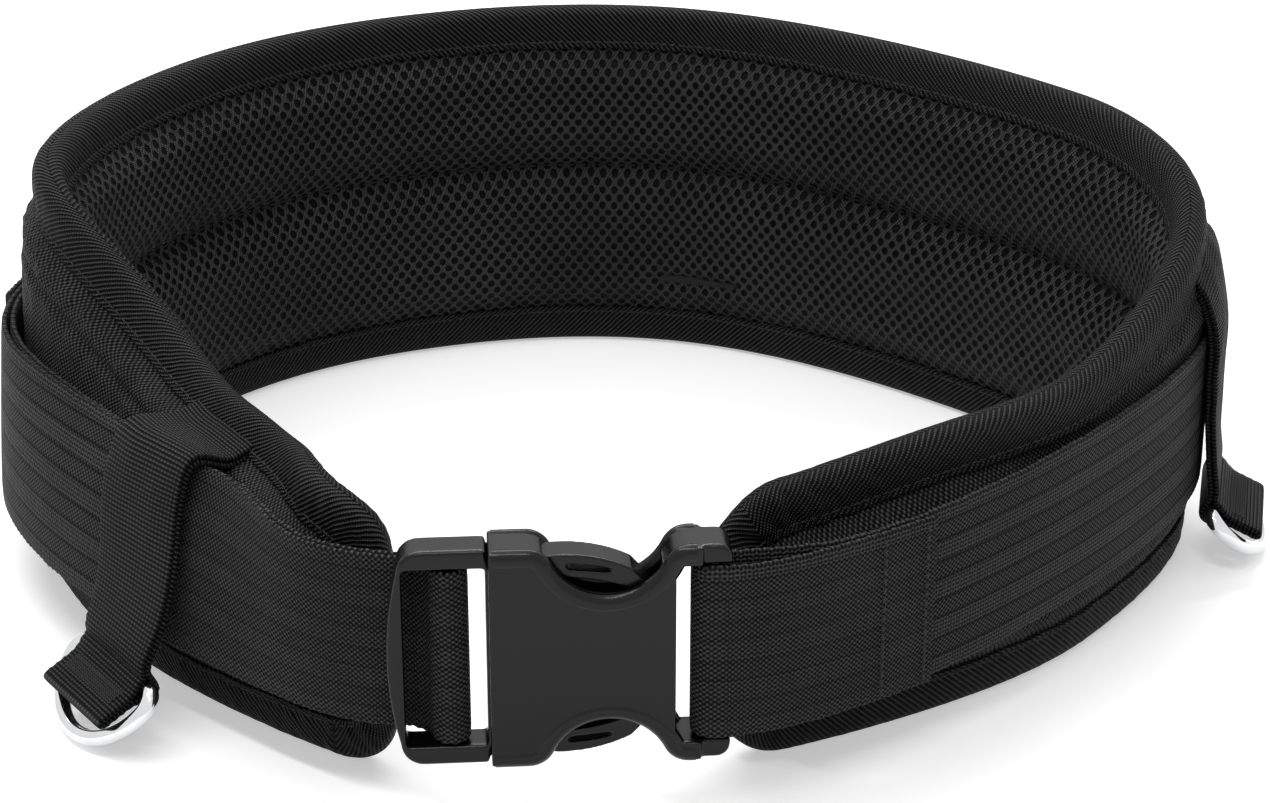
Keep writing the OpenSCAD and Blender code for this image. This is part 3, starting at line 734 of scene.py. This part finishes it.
main_s = np.arange(join_s, belt_l, 1.0)
main_o = -spread(main_s) - web_t / 2
a = np.radians(np.arange(100, 261, 8))
bar_path = bar + bar_turn * np.stack([np.cos(a), np.sin(a)], 1)
flap_s = belt_l - np.arange(0.0, flap_l + 0.5, 1.0)
flap_o = ply + spread(flap_s) + web_t / 2
flap_o = flap_o + 0.35 * smooth((belt_l - flap_s - flap_l + 6) / 6)
flap_xy = at(flap_s) + out(flap_s) * flap_o[:, None]
u0, u1, u2 = lengths(np.stack([main_s, main_o], 1), bar_path, flap_xy, between=3.8)
rows = np.concatenate([cloth_rows(main_s, main_o, u0), upright_rows(bar_path, u1),
                       upright_rows(flap_xy, u2)])
main = strip("belt_webbing_main", rows, np.concatenate([u0, u1, u2]), web_w, webbing_cloth,
             webbing_back)
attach(main, "belt")
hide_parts("belt_webbing")
print("main webbing: %.0f mm" % u2[-1])

# %% Tail, with its end folded into a hem
t = np.radians(np.arange(0, 181, 15))
leg = np.arange(join_s, tail_l - 1.2, 1.0)
back = np.arange(tail_l - 1.2, tail_l - hem_l, -1.0)
tail_s = np.concatenate([leg, tail_l - 1.2 + 1.1 * np.sin(t), back])
stand_off = 0.9 * smooth((tail_s - 112) / 45) * (1 - smooth((tail_s - 200) / 40))
folded = np.concatenate([0 * leg, 1.1 * (1 - np.cos(t)), 0 * back + 2.2])
tail_o = ply + web_t / 2 + stand_off + folded
u = lengths(np.stack([tail_s, tail_o], 1))[0]
tail = strip("belt_webbing_tail", cloth_rows(tail_s, tail_o, u), u, web_w, webbing_cloth)
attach(tail, "belt")
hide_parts("webbing_tail")

# %% The turn of webbing round the plug's bar
# It joins the main webbing and the tail under the left loop, at join_s, and leaves the
# curved sheet at leave_s. It is a strip of its own.
leg = np.arange(join_s, leave_s, -1.0)
plug_bar = np.array([-29.0, mid_y])
near = np.array([17.6, 8.8, 0.0])
a = np.radians(np.arange(75, -181, -15))
bends = np.concatenate([
    at(near) - out(near) * web_t / 2, [left_end + (3.5, 1.0)],
    plug_bar + bar_turn * np.stack([np.cos(a), np.sin(a)], 1),
    left_end + np.array([(10, -4.9), (8, -3), (5.5, -1.4), (3, -.3)]) + (0, ply - 1.0),
    at(near[::-1]) + out(near[::-1]) * (ply + web_t / 2)])
bend_xy = spline(np.concatenate([[bends[0]] * 2, bends, [bends[-1]] * 2]), 5)
back = np.arange(leave_s, join_s + 0.5, 1.0)
u0, u1, u2 = lengths(np.stack([leg, 0 * leg], 1), bend_xy, np.stack([back, 0 * back], 1))
rows = np.concatenate([cloth_rows(leg, 0 * leg - web_t / 2, u0), upright_rows(bend_xy, u1),
                       cloth_rows(back, 0 * back + ply + web_t / 2, u2)])
front = strip("belt_webbing_turn", rows, np.concatenate([u0, u1, u2]), web_w, webbing_back)
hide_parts("webbing_bight")
to_frame(-46, 15, 50)
to_frame(-112, 58, 50)
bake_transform(front)
print("webbing through the plug: %.0f mm" % u2[-1])


# %% Stitched columns across the webbing
def column(name, stations, o, node):
    """Columns of dense stitches up the webbing at each station along the sheet."""
    P, V, N = [], [], []
    up = np.arange(web_low + 2.2, web_low + web_w - 1.5, 2.9)
    for s0, o0 in zip(stations, o):
        p = place(s0, up, o0)
        P.append(p)
        V.append(place(s0 + 0.16, up + 1, o0) - p)
        N.append(place(s0, up, o0 + 1) - p)
    piece = stitches(name, np.concatenate(P), np.concatenate(V), np.concatenate(N), 2.4, 1.3,
                     1.1)
    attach(piece, "belt")
    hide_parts(node)


rows_s = [belt_l - flap_l + 3, belt_l - flap_l + 18]
column("flap_stitches", rows_s, [ply + spread(x) + web_t + 0.08 for x in rows_s],
       "flap_stitching")
rows_s = [tail_l - 4, tail_l - 16]
column("tail_hem_stitches", rows_s, [ply + 2.2 + web_t + 0.05] * 2, "tail_hem_stitching")
rows_s = [belt_l / 2 + k * 95 + j * 12 for k in (-1, 1) for j in (-1, 1)]
column("webbing_pad_stitches", rows_s, [0.05] * 4, "webbing_pad_tacks")
print("webbing stitched")

# %% [markdown]
# ## Drop loops
# A short length of ribbed webbing hangs from the tape, goes down over the belt and
# holds a D-ring between its two layers. Beyond the ring the layers run on as a tab
# with a folded end. One folded path in the plane across the belt describes the whole
# loop, and the strip is swept along it, so the fold and the eye round the ring's bar
# come from the path itself.

# %% Drop loops
def tab_direction(angle):
    return np.array([math.cos(math.radians(angle)), math.sin(math.radians(angle))])


def bar_point(s, stand):
    d, z = profile(s, web_low, (ply + web_t) if s < tail_l else 0.0)
    bar_z = (ring_w + ring_wire) / 2 * math.sin(math.radians(ring_tilt)) + ring_wire / 2 + 0.3
    return np.array([float(d) + loop_t + stand, bar_z])


def loop_path(s, stand, ease):
    cover = (ply + web_t) if s < tail_l else 0.0
    top = float(pad_top(s))
    face = float(pad_face(s))
    k = 0.4 + loop_t
    up = top - tape_w - 5.8
    p = lambda h, o: np.array(profile(s, h, o), float)
    tucked = [p(top - 9, face - 3.4), p(top - 11.5, face - 2.4), p(top - 14, face + 0.4)]
    fall = [p(up, face + k + .5 * ease), p(min(up, web_low + web_w + 3), cover + k + 1.2 * ease),
            p(web_low + web_w - 8, cover + k + 1.2 * ease),
            p(web_low + 10, cover + k + 1.4 * ease)]
    eye = bar_point(s, stand)
    to_eye = [eye + (.4, 8)] + [eye + (0, 4.2)] * 3
    middle = spline([tucked[0]] * 3 + tucked[1:] + fall + to_eye, 8)
    side = turned(middle)
    gap_half = loop_t / 2 + 0.03
    squeeze = smooth(np.arange(len(middle)) / 16)[:, None] * 0.75 + 0.25
    tab, tab_up = tab_direction(-tab_tilt), tab_direction(90 - tab_tilt)
    wrap = ring_wire / 2 + loop_t / 2 + 0.1
    run_out = np.linspace(wrap + 2.4, tab_l - 2, 6)[:, None]
    outer = np.concatenate([middle + side * gap_half * squeeze,
                            [eye + wrap * tab_direction(a) for a in (70, 40, 10)],
                            eye + tab * run_out + tab_up * gap_half])
    fold = [eye + tab * (tab_l - 1.4 + 1.3 * math.cos(a)) + tab_up * 1.25 * math.sin(a)
            for a in np.radians([60, 0, -60])]
    inner = np.concatenate([eye + tab * run_out[::-1] - tab_up * gap_half,
                            [eye + wrap * tab_direction(a) for a in (-65, -100, -140, -175)],
                            (middle - side * gap_half * squeeze)[::-1]])
    line = np.concatenate([[outer[0]] * 2, outer, fold, inner, [inner[-1]] * 2])
    return spline(line, 3), eye


def drop_loop(name, s, stand, ease, body, node, tack_node, twist=0.0, lean=0.0):
    """A folded strip hung from the tape. Its ring's bar stands off the webbing by stand,
    and ease is how loosely it falls. A twist turns the hanging part about the vertical,
    in degrees, and a lean moves the sewn top along the belt."""
    path, eye = loop_path(s, stand, ease)
    side, deep, edge = strip_section(loop_w, loop_t)
    n = turned(path)
    u = lengths(path)[0]
    w = side[None] + edge[None] * (0.18 * np.sin(u * 2 * math.pi / 2.6))[:, None]
    here, facing_out = at(s), out(s)
    forward = np.array([facing_out[1], -facing_out[0]])
    # Near its top the loop follows the curved pad, and at the ring's bar it is flat
    w_top = w + lean * np.clip((path[:, 1:] - 20) / 84, 0, 1)
    stops = np.linspace(-loop_w / 2 - 1, loop_w / 2 + 1 + lean, 9)
    fan = np.stack([loop_path(s + x, stand, ease)[0] for x in stops])
    seat = np.clip((w_top - stops[0]) / (stops[1] - stops[0]), 0, 7.999)
    i, k = seat.astype(int), (seat % 1)[..., None]
    station = np.broadcast_to(np.arange(len(path))[:, None], w.shape)
    curved = fan[i, station] * (1 - k) + fan[i + 1, station] * k
    curved = curved + n[:, None] * deep[None, :, None]
    flat = path[:, None] + n[:, None] * deep[None, :, None]
    follow = smooth((flat[..., 1] - 24) / 42)[..., None]
    limp = 0.3 * ripple(flat[..., 1], w, int(s), 24)[..., None] * follow
    on_pad = at(s + w_top) + out(s + w_top) * (curved[..., :1] + limp)
    q = math.radians(twist)
    turned_out = facing_out * math.cos(q) + forward * math.sin(q)
    sideways = forward * math.cos(q) - facing_out * math.sin(q)
    hinge_xy = here + facing_out * eye[0]
    hanging = hinge_xy + turned_out * (flat[..., :1] - eye[0]) + sideways * w[..., None]
    rows = np.concatenate([hanging * (1 - follow) + on_pad * follow,
                           flat[..., 1:] * (1 - follow) + curved[..., 1:] * follow], -1)
    piece = strip(name, rows, u, loop_w, loop_cloth)
    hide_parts(node)
    sewn = here + facing_out * float(profile(s, pad_top(s) - 19, 0)[0])
    hinge = to_frame(*sewn, 0)[:2]
    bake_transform(piece)
    tab, tab_up = tab_direction(-tab_tilt), tab_direction(90 - tab_tilt)
    P, V, N = [], [], []
    across_dir = np.array([*sideways, 0.0])
    for j, x in enumerate(np.arange(6.0, 10.6, 0.75)):
        for w0 in np.arange(-13.4, 13.5, 1.15):
            spot = eye + tab * x + tab_up * (loop_t + 0.12)
            where = turned_out * (spot[0] - eye[0]) + sideways * (w0 + 0.4 * (j % 2))
            P.append([*(hinge_xy + where), spot[1]])
            V.append(across_dir + 0.35 * (-1) ** j * np.array([*turned_out * tab[0], tab[1]]))
            N.append([*turned_out * tab_up[0], tab_up[1]])
    tack = stitches(name + "_tack", P, V, N, 1.4, 0.6, 0.5)
    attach(tack, body)
    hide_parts(tack_node)
    print(name, "webbing: %.0f mm" % u[-1])
    return hinge_xy, turned_out, sideways, eye


left = drop_loop("drop_loop_left", float(left_loop_at), 9.0, 3.5, "left_loop",
                 "left_drop_loop", "left_tab_tack", twist=11.0, lean=17.0)
right = drop_loop("drop_loop_right", float(belt_l - right_loop_at), 2.5, 0.6, "right_loop",
                  "right_drop_loop", "right_tab_tack")


# %% [markdown]
# ## D-rings
# A D-ring is a steel rod bent round a mandrel and butt-welded in the middle of its
# bar. A torus can't give the straight bar, so a round section is swept along a closed
# path: straight bar, two tight corners, and the bow.

# %% D-rings
def d_ring(name, place_of, body, node):
    hinge_xy, facing_out, sideways, eye = place_of
    R = (ring_w + ring_wire) / 2
    a = np.radians(np.arange(-78, 79, 6))
    bow = np.stack([R * np.cos(a), R * np.sin(a)], 1)
    w = np.arange(-16, 17, 4.0)
    turn_in = np.array([(1.0, 20.6), (0.0, 18.3)])
    loop = np.concatenate([np.stack([0 * w, w], 1), turn_in[::-1] * 1.0, bow[::-1],
                           turn_in * (1, -1)])
    loop = spline(np.concatenate([loop, loop[:3]]), 8)[:-1]
    v = unit(np.roll(loop, -1, 0) - np.roll(loop, 1, 0))
    n2 = np.stack([-v[:, 1], v[:, 0]], 1)
    out_dir = tab_direction(-ring_tilt)
    X = np.array([*facing_out * out_dir[0], out_dir[1]])
    W = np.array([*sideways, 0.0])
    Z = np.cross(X, W)
    start = np.array([*hinge_xy, eye[1]])
    k = np.radians(np.arange(0, 360, 15))
    c, t = np.cos(k)[None, :, None] * ring_wire / 2, np.sin(k)[None, :, None] * ring_wire / 2
    centre = start + loop[:, :1] * X + loop[:, 1:] * W
    across_n = n2[:, :1] * X + n2[:, 1:] * W
    points = centre[:, None] + across_n[:, None] * c + Z * t
    uv = np.stack(np.meshgrid(np.arange(24), np.arange(len(loop))), -1)
    ring = grid(name, points, uv, chrome, wrap_rows=True, wrap_columns=True)
    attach(ring, body)
    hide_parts(node)
    return ring


d_ring("d_ring_left", left, "left_ring", "left_d_ring")
d_ring("d_ring_right", right, "right_ring", "right_d_ring")
print("rings hung")

# %% [markdown]
# ## Buckle
# The buckle is injection moulded, and a moulding has no sharp edge anywhere: every
# corner of the steel mould is rounded so that the plastic flows and releases. Bevels
# fail where many fillets meet, so each half is rebuilt as fine voxels and relaxed,
# which rounds all of its edges by about a millimetre at once.

# %% Moulded halves and latch arms
def moulded(name, node, voxel, passes):
    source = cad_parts[node]
    piece = bpy.data.objects.new(name, source.data.copy())
    piece.matrix_world = source.matrix_world.copy()
    scene.collection.objects.link(piece)
    cells = piece.modifiers.new("voxels", "REMESH")
    cells.mode, cells.voxel_size = "VOXEL", voxel / 1000
    relax = piece.modifiers.new("relax", "SMOOTH")
    relax.factor, relax.iterations = 0.5, passes
    depsgraph = bpy.context.evaluated_depsgraph_get()
    mesh = bpy.data.meshes.new_from_object(piece.evaluated_get(depsgraph))
    piece.modifiers.clear()
    piece.data = mesh
    mesh.materials.clear()
    mesh.materials.append(plastic)
    mesh.polygons.foreach_set("use_smooth", [True] * len(mesh.polygons))
    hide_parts(node)
    print(name, "faces:", len(mesh.polygons))
    return piece


# %% Rolled lip round the finger scallops
def rolled_lip(name, y, radius):
    """A bead along the edge of each scallop, sunk into the socket's face. Its line runs
    level along the edge, over one shoulder, round the scallop and over the other."""
    half_h = buckle_h / 2
    scallop_r, shoulder_r, scallop_x, scallop_depth = 17.0, 7.0, 13.5, 14.0
    centre_z = half_h - scallop_depth + scallop_r
    rise = centre_z - half_h + shoulder_r
    reach = math.sqrt((scallop_r + shoulder_r) ** 2 - rise * rise)
    start = math.atan2(rise, reach)

    def arc(x, z, r, a0, a1, n):
        return [(x + r * math.cos(q), z + r * math.sin(q)) for q in np.linspace(a0, a1, n)]

    inset = radius * 0.8
    line = ([(-17.4, half_h - inset)]
            + arc(scallop_x - reach, half_h - shoulder_r, shoulder_r - inset,
                  math.pi / 2, start, 10)
            + arc(scallop_x, centre_z, scallop_r + inset, math.pi + start, 2 * math.pi - start, 30)
            + arc(scallop_x + reach, half_h - shoulder_r, shoulder_r - inset,
                  math.pi - start, math.pi / 2, 10)
            + [(37.0, half_h - inset)])
    line = spline(np.array([line[0]] * 2 + line + [line[-1]] * 2), 3)
    n = turned(line)
    ring = np.radians(np.arange(0, 360, 20))
    x = line[:, :1] + n[:, :1] * np.cos(ring) * radius
    z = line[:, 1:] + n[:, 1:] * np.cos(ring) * radius
    depth = y + 0 * x + np.sin(ring) * inset
    upper, lower = (np.stack([x, depth, web_z0 + web_w / 2 + side * z], -1).reshape(-1, 3)
                    for side in (1, -1))
    m = len(ring)
    i, j = np.meshgrid(np.arange(len(line) - 1), np.arange(m), indexing="ij")
    f = np.stack([i * m + j, (i + 1) * m + j, (i + 1) * m + (j + 1) % m, i * m + (j + 1) % m],
                 -1).reshape(-1, 4)
    piece = make(name, np.concatenate([upper, lower]),
                 np.concatenate([f, f[:, ::-1] + len(upper)]), None, plastic)
    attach(piece, "belt")


rolled_lip("socket_lip_front", 1.7, 2.8)
rolled_lip("socket_lip_back", 13.3, 2.8)

# %% The moulded parts
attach(moulded("buckle_socket", "female_buckle", 0.45, 16), "belt")
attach(moulded("buckle_plug", "male_buckle", 0.45, 22), "plug")
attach(moulded("latch_upper", "latch_arm_upper", 0.36, 6), "upper_latch")
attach(moulded("latch_lower", "latch_arm_lower", 0.36, 6), "lower_latch")

# %% [markdown]
# ## Stage, light and camera
# The belt stands on a pale floor in an even white surround, under one soft box and two
# long strips whose reflections trace the rounded edges of the plastic. The floor is
# pale, and camera rays see it lifted to white, so that the light on the cloth can stay
# at a plain level while the soft shadow remains.

# %% Floor
studio = Finish("studio floor", Roughness=0.9, Specular_IOR_Level=0.1,
                Base_Color=(0.82, 0.82, 0.82, 1), Emission_Strength=1.0)
seen = studio.node("LightPath", output=0).most(studio.node("LightPath", output=3))
seen = seen.most(studio.node("LightPath", output=6))
lift = studio.mix(seen, (0, 0, 0), (0.45, 0.45, 0.45))
studio.tree.links.new(lift.socket, studio.shader.inputs["Emission Color"])
floor = make("studio_floor", np.array([(-6000, -6000, -0.3), (6000, -6000, -0.3),
                                       (6000, 6000, -0.3), (-6000, 6000, -0.3)]),
             [[0, 1, 2, 3]], None, studio.material, flat=True)

# %% World and lamps
world = bpy.data.worlds.new("even surround")
scene.world = world
world.use_nodes = True
tree = world.node_tree
background = tree.nodes["Background"]
ray = tree.nodes.new("ShaderNodeLightPath")
seen = Flow(tree, ray.outputs["Is Camera Ray"]).most(Flow(tree, ray.outputs["Is Glossy Ray"]))
seen = seen.most(Flow(tree, ray.outputs["Is Transmission Ray"]))
strength = seen * 0.6 + 0.4
background.inputs["Color"].default_value = (1, 1, 1, 1)
tree.links.new(strength.socket, background.inputs["Strength"])


def softbox(name, where, towards, long_side, short_side, power):
    lamp = bpy.data.lights.new(name, "AREA")
    lamp.shape, lamp.size, lamp.size_y, lamp.energy = "RECTANGLE", long_side, short_side, power
    holder = bpy.data.objects.new(name, lamp)
    scene.collection.objects.link(holder)
    holder.location = where
    holder.rotation_euler = (Vector(towards) - Vector(where)).to_track_quat("-Z", "Y").to_euler()


softbox("overhead", (-0.1, 0.2, 1.4), (0, 0, 0), 1.0, 1.0, 4)
softbox("strip behind", (0.0, 0.75, 1.0), (0, -0.1, 0), 1.5, 0.1, 10)
softbox("strip in front", (-0.3, -0.45, 1.2), (0, -0.1, 0), 1.2, 0.08, 7)
print("lamps: one soft box and two strips")

# %% Camera
# It stands 0.85 m away, 4 degrees to the side and 25 degrees above the buckle's middle.
turn_z, lift_up = math.radians(-4), math.radians(25)
back = Vector((math.sin(turn_z) * math.cos(lift_up), -math.cos(turn_z) * math.cos(lift_up),
               math.sin(lift_up)))
sideways = Vector((math.cos(turn_z), math.sin(turn_z), 0))
upward = back.cross(sideways)
aim = Vector((*(-origin), 52.0)) + sideways * 20.3 + upward * 68.1
lens = bpy.data.cameras.new("camera")
lens.lens, lens.sensor_width, lens.clip_start = 90.35, 36, 0.05
camera = bpy.data.objects.new("camera", lens)
camera.matrix_world = Matrix.Translation((aim + back * 850) / 1000) @ Matrix(
    (sideways, upward, back)).transposed().to_4x4()
scene.collection.objects.link(camera)
scene.camera = camera
scene.view_settings.view_transform = "Standard"
print("camera at", [round(x, 3) for x in camera.location])
